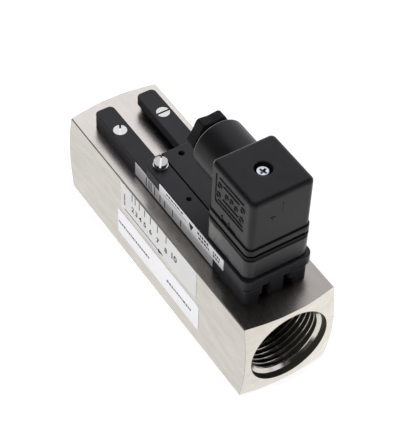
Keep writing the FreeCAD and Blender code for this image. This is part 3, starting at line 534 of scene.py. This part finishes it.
finishes = {
    ground_bar: ["flow_body"],
    turned_steel: ["slotted_nozzle", "inlet_stop", "spring_stop"],
    spring_steel: ["inlet_circlip", "outlet_circlip", "return_spring", "reed_leads"],
    grey_plastic: ["float_body", "float_cap"],
    ferrite: ["float_magnet"],
    black_polyamide: ["front_rail", "rear_rail", "switch_housing"],
    black_plug_plastic: ["terminal_insert", "gland_nut", "gland_washer"],
    plug_shell_plastic: ["plug_housing"],
    black_base_plastic: ["connector_base"],
    zinc_steel: ["base_screws", "terminal_screws"],
    clamp_zinc: ["clamp_screw"],
    rail_screw_zinc: ["rail_screws"],
    plug_screw_zinc: ["plug_screw"],
    silver_film: ["scale_label"],
    strip_film: ["rail_scale"],
    white_film: ["type_label"],
    plate_film: ["pointer_label"],
    brass: ["clamp_insert", "screw_insert"],
    tinned_brass: ["contact_blades"],
    board_laminate: ["reed_board"],
    clear_glass: ["reed_glass"],
    wire_sheath: ["jumper_wires"],
    black_rubber: ["base_gasket", "flange_gasket", "screw_seal", "gland_seal"],
}
for finish, names in finishes.items():
    for name in names:
        frame["nodes"][name].material_slots[0].material = finish


def piece(name, points, faces, finish, body, smooth=True):
    """Puts whole arrays of points, in millimetres, and faces into a mesh that rides on a body."""
    mesh = bpy.data.meshes.new(name)
    mesh.from_pydata((np.asarray(points) * MM).tolist(), [], [list(map(int, face)) for face in faces])
    mesh.polygons.foreach_set("use_smooth", [smooth] * len(mesh.polygons))
    mesh.materials.append(finish)
    mesh.update()
    made = bpy.data.objects.new(name, mesh)
    bpy.context.scene.collection.objects.link(made)
    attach(made, body)
    return made


def full_turn(steps):
    """Equal angles round a full turn, without its end."""
    return np.linspace(0, 2 * np.pi, steps, endpoint=False)


def grid_faces(rows, columns):
    """Quads of a grid that closes along its columns."""
    i, j = np.meshgrid(np.arange(rows - 1), np.arange(columns), indexing="ij")
    k = (j + 1) % columns
    this, following = i * columns, (i + 1) * columns
    return np.stack([this + j, this + k, following + k, following + j], -1).reshape(-1, 4)


def sleeve_faces(rows, columns):
    """Quads of a grid that closes along its columns and whose last row meets its first."""
    faces = grid_faces(rows + 1, columns)
    return np.where(faces >= rows * columns, faces - rows * columns, faces)


def repeated(faces, count, step):
    """The faces of one shape, for a count of shapes whose points follow each other by a step."""
    return (np.arange(count)[:, None, None] * step + faces[None]).reshape(-1, faces.shape[1]).tolist()


THREAD_COLUMNS = 200
THREAD_ROWS = 175
CONE_ROWS = (0.0, 0.04, 0.96)


def pipe_thread(name, way):
    """Closed sleeve with an internal thread. A shallow cone leads in from the port's wall to the minor
    radius, with a row near each edge to keep it straight when shaded. Behind it the inner radius is a
    flat-topped saw of the depth, one pitch per turn, that rises from a plain land and runs out to the root
    at the end."""
    turn = full_turn(THREAD_COLUMNS)
    depth = np.linspace(LEAD_IN, THREAD_DEPTH, THREAD_ROWS)[:, None]
    phase = (depth / PITCH + way * turn[None, :] / (2 * np.pi)) % 1.0
    rising = np.clip((depth - LEAD_IN) / LAND - 1, 0, 1)
    saw = np.clip((np.abs(2 * phase - 1) - THREAD_FLAT) / (1 - 2 * THREAD_FLAT), 0, 1) * rising
    runout = np.clip((depth - (THREAD_DEPTH - PITCH)) / PITCH, 0, 1)
    inner = MINOR_RADIUS + (THREAD_ROOT - MINOR_RADIUS) * np.maximum(saw, runout)
    outer = np.full_like(inner, port_wall - SLEEVE_GAP)
    down = np.array(CONE_ROWS)[:, None]
    cone = outer[:1] - (outer[:1] - MINOR_RADIUS) * down
    radii = np.concatenate([cone, inner, outer[::-1]])
    along = np.concatenate([LEAD_IN * down, depth, depth[::-1]]) * np.ones_like(radii)
    points = np.stack([way * (port_mouth - along), radii * np.cos(turn), axis_z + radii * np.sin(turn)], -1)
    faces = sleeve_faces(len(radii), len(turn))
    if way < 0:
        faces = faces[:, ::-1]
    piece(name, points.reshape(-1, 3), faces, cut_thread, "body")


pipe_thread("outlet_thread", 1)
pipe_thread("inlet_thread", -1)

COIL_RADIUS = 8.2
COIL_WIRE = 1.1
COIL_TURNS = 9
STEPS_A_TURN = 40
WIRE_SIDES = 12


def return_coil():
    """Round wire carried along a helix about the pipe's axis, with flat ends."""
    low, high = span("return_spring")
    share = np.linspace(0, 1, STEPS_A_TURN * COIL_TURNS + 1)[:, None]
    angle = 2 * np.pi * COIL_TURNS * share
    around = full_turn(WIRE_SIDES)[None, :]
    radius = COIL_RADIUS + COIL_WIRE / 2 * np.cos(around)
    helix = low[0] + COIL_WIRE / 2 + (high[0] - low[0] - COIL_WIRE) * share
    along = helix + COIL_WIRE / 2 * np.sin(around)
    points = np.stack([along, radius * np.cos(angle), axis_z + radius * np.sin(angle)], -1)
    last = points[:, :, 0].size
    ends = [list(range(WIRE_SIDES)), list(range(last - 1, last - WIRE_SIDES - 1, -1))]
    faces = grid_faces(*points.shape[:2])[:, ::-1].tolist() + ends
    made = piece("return_coil", points.reshape(-1, 3), faces, spring_steel, "body")
    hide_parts("return_spring")
    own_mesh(made)


return_coil()

NUT_CORNER = 9.7
NUT_ROUND = 9.45
NUT_WEAR = 8
NUT_HOLLOW = 0.4
NUT_LENGTH = 4.8
NUT_EDGE = 0.7
NUT_EDGE_ROWS = 5
NUT_BORE = 4.75
NUT_NECK = 6.4
NUT_RIBS = 54
NUT_RIB_DEPTH = 0.12
COLUMNS_A_RIB = 12


def gland_nut_shell():
    """Gland nut whose radius over the turn is a hexagon's, worn down towards a circle at its corners as a
    soft minimum and hollowed on its flats as a cosine, with fine ribs as a quicker cosine; the profile
    along the axis has both ends rounded, a neck and a bore."""
    low, high = span("gland_nut")
    middle = centre("gland_nut")
    turn = full_turn(COLUMNS_A_RIB * NUT_RIBS)
    from_flat = np.pi / 6 - np.abs((turn + np.pi / 6) % (np.pi / 3) - np.pi / 6)
    hexagon = NUT_CORNER * np.cos(np.pi / 6) / np.cos(from_flat)
    worn = -np.log(np.exp(-NUT_WEAR * hexagon) + np.exp(-NUT_WEAR * NUT_ROUND)) / NUT_WEAR
    lobes = worn - NUT_HOLLOW * (0.5 - 0.5 * np.cos(6 * turn))
    ribs = NUT_RIB_DEPTH * (0.5 + 0.5 * np.cos(NUT_RIBS * turn))
    bend = np.linspace(0, np.pi / 2, NUT_EDGE_ROWS)
    inset = NUT_EDGE * (1 - np.sin(bend))
    step = NUT_EDGE * (1 - np.cos(bend))
    length = high[0] - low[0]
    along = np.concatenate([[0.0], step, NUT_LENGTH - step[::-1], [NUT_LENGTH, length, length]])
    drop = np.concatenate([inset, inset[::-1]])[:, None]
    flank = lobes[None, :] - ribs[None, :] * (1 - drop / NUT_EDGE) - drop
    plain = np.array([NUT_NECK, NUT_NECK, NUT_BORE])[:, None] * np.ones_like(turn)
    radii = np.concatenate([np.full_like(plain[:1], NUT_BORE), flank, plain])
    spread = along[:, None] * np.ones_like(turn)
    y = middle[1] + radii * np.cos(turn)
    z = middle[2] + radii * np.sin(turn)
    points = np.stack([low[0] + spread, y, z], -1)
    made = piece("gland_nut_shell", points.reshape(-1, 3), sleeve_faces(len(radii), len(turn)),
                 black_nut_plastic, "gland_nut")
    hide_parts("gland_nut")


gland_nut_shell()

FILM = 0.1
FILM_CORNER = 1.0
CORNER_POINTS = 7


def rounded_film(name, node, finish, drop=0.0):
    """Film in place of a label: a rectangle with quarter-circle corners, carried through the film's
    thickness. The drop moves its lower edge down. Gives back the Y of its face."""
    low, high = span(node)
    right, top = high[0] - FILM_CORNER, high[2] - FILM_CORNER
    left, bottom = low[0] + FILM_CORNER, low[2] - drop + FILM_CORNER
    middles = np.array([(right, top), (left, top), (left, bottom), (right, bottom)])
    quarter = np.linspace(0, np.pi / 2, CORNER_POINTS)
    turn = (np.arange(4)[:, None] * np.pi / 2 + quarter[None, :]).ravel()
    outline = np.repeat(middles, len(quarter), 0) + FILM_CORNER * np.stack([np.cos(turn), np.sin(turn)], -1)
    count = len(outline)
    face = high[1] - FILM
    rows = np.array([high[1], face])
    points = np.stack([np.tile(outline[:, 0], 2), np.repeat(rows, count), np.tile(outline[:, 1], 2)], -1)
    faces = grid_faces(2, count).tolist() + [list(range(count)), list(range(2 * count - 1, count - 1, -1))]
    made = piece(name, points, faces, finish, "body", smooth=False)
    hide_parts(node)
    return face


INK = 0.02
WEDGE_ENDS = np.array([(0, 2, 4), (5, 3, 1)])
WEDGE_SIDES = np.array([(0, 1, 3, 2), (2, 3, 5, 4), (4, 5, 1, 0)])
BOX_FACES = np.array([(0, 1, 3, 2), (4, 6, 7, 5), (0, 4, 5, 1), (2, 3, 7, 6), (0, 2, 6, 4), (1, 5, 7, 3)])


def wedges(rows, face):
    """Flat triangles of ink on a face that looks along -Y: each row (x0, z0, x1, z1, x2, z2), taken
    anticlockwise as the face is looked at, becomes a closed prism."""
    corners = np.asarray(rows, float).reshape(-1, 3, 1, 2) * np.ones((1, 1, 2, 1))
    y = np.array([face - INK, face])[None, None, :] * np.ones(corners.shape[:3])
    points = np.stack([corners[..., 0], y, corners[..., 1]], -1).reshape(-1, 3)
    return points, repeated(WEDGE_ENDS, len(rows), 6) + repeated(WEDGE_SIDES, len(rows), 6)


def bars(rows, face):
    """Upright bars of ink on a face that looks along -Y: each row (x0, x1, z0, z1) becomes a closed box."""
    x0, x1, z0, z1 = np.asarray(rows, float).T
    x = np.stack([x0, x1], -1)[:, :, None, None] * np.ones((1, 2, 2, 2))
    y = np.array([face - INK, face])[None, None, :, None] * np.ones_like(x)
    z = np.stack([z0, z1], -1)[:, None, None, :] * np.ones_like(x)
    return np.stack([x, y, z], -1).reshape(-1, 3), repeated(BOX_FACES, len(x0), 8)


BOLD = 0.045
FIGURE_SHARE = 0.7


def figures(rows, face):
    """Figures of ink on a face that looks along -Y: each row (text, x, z, height) becomes a closed outline,
    whose walls and faces share their points. A figure's height is a fixed share of its font's size."""
    all_points, all_faces, first = [], [], 0
    for text, x, z, height in rows:
        curve = bpy.data.curves.new("figure", "FONT")
        curve.body = text
        curve.size = height / FIGURE_SHARE
        curve.align_x, curve.align_y = "CENTER", "CENTER"
        curve.extrude = INK / 2
        curve.offset = BOLD * height
        curve.resolution_u = 3
        holder = bpy.data.objects.new("figure", curve)
        mesh = bpy.data.meshes.new_from_object(holder)
        flat = np.empty(len(mesh.vertices) * 3)
        mesh.vertices.foreach_get("co", flat)
        flat, place = np.unique(flat.reshape(-1, 3).round(4), axis=0, return_inverse=True)
        place = place.ravel()
        all_points.append(np.stack([x + flat[:, 0], face - INK / 2 - flat[:, 2], z + flat[:, 1]], -1))
        all_faces += [[first + int(place[v]) for v in polygon.vertices] for polygon in mesh.polygons]
        first += len(flat)
        bpy.data.objects.remove(holder)
        bpy.data.curves.remove(curve)
        bpy.data.meshes.remove(mesh)
    return np.concatenate(all_points), all_faces


def joined(*parts):
    """Several point and face arrays as one."""
    points = np.concatenate([part[0] for part in parts])
    starts = np.cumsum([0] + [len(part[0]) for part in parts])
    faces = [[int(v) + start for v in face] for part, start in zip(parts, starts) for face in part[1]]
    return points, faces


DASH_SHORTEST = 0.5
DASH_LONGEST = 1.5
DASH_GAP = 0.45
DASHES_DRAWN = 60


def dashes(x0, x1, z, height, seed):
    """A row of short plain dashes of unequal length, as bar rows."""
    steps = np.random.default_rng(seed).uniform(DASH_SHORTEST, DASH_LONGEST, DASHES_DRAWN)
    starts = x0 + np.concatenate([[0], np.cumsum(steps + DASH_GAP)])
    keep = starts[1:] < x1
    left = starts[:-1][keep]
    level = np.full_like(left, z)
    return np.stack([left, left + steps[keep], level - height / 2, level + height / 2], -1)


TICK = 0.5


def ticks(middles, low, high):
    """Upright ticks between two levels, as bar rows."""
    return [(x - TICK / 2, x + TICK / 2, low, high) for x in middles]


def inked(name, body, *parts):
    """Joins the inked parts of one label into a piece."""
    points, faces = joined(*parts)
    piece(name, points, faces, black_ink, body, smooth=False)


# Films on the bar's front, in place of the two plain labels
scale_face = rounded_film("scale_film", "scale_label", silver_film)
type_face = rounded_film("type_film", "type_label", white_film, drop=0.6)

# Print on the scale: ticks, the numbers 2 to 8 and 10, a flow arrow and short marks at its left end
scale_bars = ticks((-15.3, -13.0, -9.9, -5.9, -1.6, 3.6, 9.8), 35.3, 39.2)
scale_bars += [(-21.0, 7.7, 25.65, 26.15)]
scale_bars += [(-21.5, -20.5, z - 0.4, z + 0.4) for z in (28.6, 29.9, 31.4, 32.6, 33.9)]
number_places = (-14.8, -12.0, -9.1, -5.8, -1.5, 3.7, 9.7)
numbers = [(str(n + 2), x, 30.7, 2.6) for n, x in enumerate(number_places)] + [("10", 15.35, 32.3, 3.2)]
arrow_head = [(4.4, 24.8, 7.9, 25.9, 4.4, 27.0)]
inked("scale_print", "body", bars(scale_bars, scale_face), wedges(arrow_head, scale_face),
      figures(numbers, scale_face))

# Print on the white label under it: two groups of plain dashes
type_bars = np.concatenate([dashes(-25.6, -1.7, 14.4, 1.1, 3), dashes(11.0, 30.1, 14.4, 1.1, 5)])
inked("type_print", "body", bars(type_bars, type_face))

# Print on the front rail's strip: ticks
strip_ticks = ticks((-14.7, -12.7, -11.2, -8.6, -4.65, -1.2, 4.4, 10.3), 41.6, 46.4)
inked("strip_print", "body", bars(strip_ticks, span("rail_scale")[0][1]))

# Print on the clamp tongue's plate: a line, rows of dashes and the index mark
plate_face = span("pointer_label")[0][1]
plate_dashes = [dashes(0.5, 14.0, 51.2, 0.9, 7), dashes(22.4, 31.8, 50.7, 1.2, 9),
                dashes(23.4, 31.8, 48.7, 1.0, 13), dashes(33.2, 38.6, 50.2, 1.0, 11),
                dashes(33.2, 38.6, 48.5, 1.0, 15)]
plate_bars = np.concatenate([[(-1.5, 15.0, 49.3, 49.5)], *plate_dashes])
index_mark = [(18.1, 47.3, 19.7, 50.8, 16.5, 50.8)]
inked("pointer_print", "switch", bars(plate_bars, plate_face), wedges(index_mark, plate_face))

STUD_SIDES = 16
STUD_LAYERS = 5
STUD_TOP = 0.46 * np.pi
NO_LENGTH = 1e-9


def studs(rows, rise, place):
    """Raised marks on a face. Each row (along0, up0, along1, up1, width) is a ball flattened to the rise
    and drawn out from one point to the other: its forward half sits on the second point. A small flat
    closes its top."""
    rows = np.asarray(rows, float)
    start, end, width = rows[:, 0:2], rows[:, 2:4], rows[:, 4]
    run = end - start
    length = np.linalg.norm(run, axis=1, keepdims=True)
    ahead = np.where(length > 0, run / np.maximum(length, NO_LENGTH), np.array([1.0, 0.0]))
    side = np.stack([-ahead[:, 1], ahead[:, 0]], -1)
    around = full_turn(STUD_SIDES)
    lift = np.linspace(0, STUD_TOP, STUD_LAYERS)
    forward = np.cos(lift)[:, None] * np.cos(around)[None, :]
    across = np.cos(lift)[:, None] * np.sin(around)[None, :]
    out = np.sin(lift)[:, None] * np.ones_like(around)[None, :]
    shift = (forward >= -NO_LENGTH)[None, :, :, None] * run[:, None, None, :]
    reach_ahead = forward[None, :, :, None] * ahead[:, None, None, :]
    reach_aside = across[None, :, :, None] * side[:, None, None, :]
    flat = start[:, None, None, :] + shift + width[:, None, None, None] / 2 * (reach_ahead + reach_aside)
    points = place(flat[..., 0], rise * out[None] * np.ones_like(flat[..., 0]), flat[..., 1])
    count = STUD_SIDES * STUD_LAYERS
    faces = repeated(grid_faces(STUD_LAYERS, STUD_SIDES), len(rows), count)
    feet = repeated(np.arange(STUD_SIDES - 1, -1, -1)[None], len(rows), count)
    tops = repeated(np.arange(count - STUD_SIDES, count)[None], len(rows), count)
    return points.reshape(-1, 3), faces + feet + tops


RING_STEPS = 24
RING_SIDES = 10


def rings(rows, rise, place):
    """Raised rings on a face: each row (along, up, radius, width) is a flattened torus, half sunk."""
    middle, level, radius, width = np.asarray(rows, float).T[:, :, None, None]
    around = full_turn(RING_STEPS)[None, :, None]
    across = full_turn(RING_SIDES)[None, None, :]
    reach = radius + width / 2 * np.cos(across)
    out = rise * np.sin(across) * np.ones_like(reach * around)
    points = place(middle + reach * np.cos(around), out, level + reach * np.sin(around)).reshape(-1, 3)
    one_ring = sleeve_faces(RING_STEPS, RING_SIDES)[:, ::-1]
    return points, repeated(one_ring, len(rows), RING_STEPS * RING_SIDES)


PLUG_FRONT = -12.55
PLUG_END = 52.55


def on_plug_front(along, out, up):
    """Points on the plug's face that looks along -Y."""
    return np.stack([along, PLUG_FRONT - out, up], -1)


def on_plug_end(along, out, up):
    """Points on the plug's face that looks along +X."""
    return np.stack([PLUG_END + out, along, up], -1)


# Ribs, rings and a mould seam on the plug's faces
RIB = 0.7
RIB_RISE = 0.35
rib_rows = [(29.8, 75.6, 29.8, 87.9, RIB), (29.8, 75.6, 30.7, 74.6, RIB), (30.7, 74.6, 47.4, 74.6, RIB),
            (32.0, 76.5, 47.0, 76.5, RIB), (34.7, 78.9, 44.2, 78.9, RIB), (32.1, 87.8, 47.0, 87.8, RIB),
            (34.7, 85.6, 44.3, 85.6, RIB), (34.6, 69.4, 34.6, 70.6, RIB), (39.1, 69.4, 39.1, 70.6, RIB)]
ring_rows = [(46.7, 84.6, 1.1, 0.6), (46.2, 79.4, 1.1, 0.6), (32.2, 84.2, 1.1, 0.6), (31.7, 79.1, 1.1, 0.6),
             (36.6, 82.0, 0.9, 0.7), (39.7, 82.5, 0.9, 0.7), (42.6, 81.7, 0.9, 0.7)]
end_rows = [(-4.0, 81.6, -2.4, 81.2, 0.8), (-3.4, 79.8, -3.2, 81.2, 0.8)]
seam_rows = [(0.7, 82.0, 0.7, 87.4, 0.25)]
points, faces = joined(studs(rib_rows, RIB_RISE, on_plug_front), rings(ring_rows, RIB_RISE, on_plug_front),
                       studs(end_rows, RIB_RISE / 2, on_plug_end),
                       studs(seam_rows, RIB_RISE / 8, on_plug_end))
piece("plug_ribs", points, faces, black_plug_plastic, "switch")


def facing(side, up, away):
    """The turn that sets an object's own X, Y and Z along three directions."""
    return Matrix(np.stack([side, up, away], 1).tolist()).to_4x4()


# Camera at the photograph's viewing angle
AZIMUTH, ELEVATION, ROLL = np.radians([55.0605, 48.1492, 2.9457])
CAMERA_SPOT = (346.765, -237.732, 498.511)
FOCAL_PIXELS = 1603.232
LONG_SIDE_PIXELS = 436
SENSOR = 36.0
scene = bpy.context.scene
level_part = np.cos(ELEVATION)
back = np.array([np.sin(AZIMUTH) * level_part, -np.cos(AZIMUTH) * level_part, np.sin(ELEVATION)])
right = np.array([np.cos(AZIMUTH), np.sin(AZIMUTH), 0.0])
up = np.cross(back, right)
tilted_right = np.cos(ROLL) * right + np.sin(ROLL) * up
tilted_up = np.cos(ROLL) * up - np.sin(ROLL) * right
camera_data = bpy.data.cameras.new("camera")
camera_data.sensor_width = SENSOR
camera_data.lens = FOCAL_PIXELS * SENSOR / LONG_SIDE_PIXELS
camera_data.clip_start = 0.01
camera = bpy.data.objects.new("camera", camera_data)
camera_place = Matrix.Translation([value * MM for value in CAMERA_SPOT])
camera.matrix_world = camera_place @ facing(tilted_right, tilted_up, back)
scene.collection.objects.link(camera)
bpy.context.scene.camera = camera
bpy.context.scene.view_settings.view_transform = "Standard"


def seen_rays(tree):
    """One for rays from the camera and for those that metal or glass sends on, and zero for all others."""
    path = add(tree, "LightPath")
    kinds = [path.outputs[name] for name in ("Is Camera Ray", "Is Glossy Ray", "Is Transmission Ray")]
    seen = add(tree, "Math", {0: kinds[0], 1: kinds[1]}, operation="MAXIMUM")
    return add(tree, "Math", {0: seen, 1: kinds[2]}, operation="MAXIMUM")


# White paper floor that keeps the shadow: matt, lifted to white where it is seen, and an even white in
# what metal mirrors
FLOOR_REACH = 3.0
FLOOR_LIFT = 0.55
MIRRORED_FLOOR = 0.98
floor_mesh = bpy.data.meshes.new("floor")
floor_corners = [(x * FLOOR_REACH, y * FLOOR_REACH, 0) for x, y in ((-1, -1), (1, -1), (1, 1), (-1, 1))]
floor_mesh.from_pydata(floor_corners, [], [(0, 1, 2, 3)])
floor = bpy.data.objects.new("floor", floor_mesh)
scene.collection.objects.link(floor)
paper = bpy.data.materials.new("white_paper")
paper.use_nodes = True
tree = paper.node_tree
lift = add(tree, "Math", {0: seen_rays(tree), 1: FLOOR_LIFT}, operation="MULTIPLY")
glow = add(tree, "Emission", {"Strength": lift})
matt = add(tree, "BsdfDiffuse", {"Color": linear("#e8e8e8")})
both = add(tree, "AddShader", {0: glow, 1: matt})
even = add(tree, "Emission", {"Strength": MIRRORED_FLOOR})
mirrored = add(tree, "LightPath").outputs["Is Glossy Ray"]
feed(tree.nodes["Material Output"], {"Surface": add(tree, "MixShader", {0: mirrored, 1: both, 2: even})})
floor_mesh.materials.append(paper)

# Studio: a broad bright wall behind and above, a small card at the right, the white floor carried up past
# the horizon, and dim elsewhere
WALL_WAY = (-0.55, 0.65, 0.52)
WALL_LEVEL = 1.06
DIM_LEVEL = 0.03
CARD_WAY = (0.757, 0.57, 0.319)
world = bpy.data.worlds.new("studio")
scene.world = world
world.use_nodes = True
tree = world.node_tree
way = add(tree, "TexCoord").outputs["Generated"]
towards_wall = add(tree, "VectorMath", {0: way, 1: WALL_WAY}, operation="DOT_PRODUCT")
shade = add(tree, "MapRange", {0: towards_wall, 1: 0.5, 2: 0.9, 3: DIM_LEVEL, 4: WALL_LEVEL},
            interpolation_type="SMOOTHSTEP")
towards_card = add(tree, "VectorMath", {0: way, 1: CARD_WAY}, operation="DOT_PRODUCT")
card = add(tree, "MapRange", {0: towards_card, 1: 0.965, 2: 0.985, 4: 1.0})
shade = add(tree, "Math", {0: shade, 1: card}, operation="MAXIMUM")
height = add(tree, "SeparateXYZ", {0: way})
backdrop = add(tree, "MapRange", {0: height.outputs["Z"], 1: 0.14, 2: 0.08})
backdrop = add(tree, "Math", {0: backdrop, 1: seen_rays(tree)}, operation="MULTIPLY")
level = add(tree, "Mix", {0: backdrop, 2: shade, 3: 1.0})
feed(tree.nodes["Background"], {"Strength": level, "Color": linear("#f8f8ff")})

LAMP_AIM = (0.0, 0.0, 0.03)
LAMP_SIZE = 0.9


def softbox(name, spot, watts):
    """Square area lamp at a spot in metres, turned towards the object."""
    data = bpy.data.lights.new(name, "AREA")
    data.size = LAMP_SIZE
    data.energy = watts
    lamp = bpy.data.objects.new(name, data)
    away = np.array(spot) - np.array(LAMP_AIM)
    away = away / np.linalg.norm(away)
    side = np.cross((0.0, 1.0, 0.0), away)
    side = side / np.linalg.norm(side)
    lamp.matrix_world = Matrix.Translation(spot) @ facing(side, np.cross(away, side), away)
    lamp.visible_glossy = False
    scene.collection.objects.link(lamp)


softbox("overhead", (-0.2, 0.25, 1.1), 4.2)
softbox("front_fill", (0.25, -1.0, 0.6), 12.0)
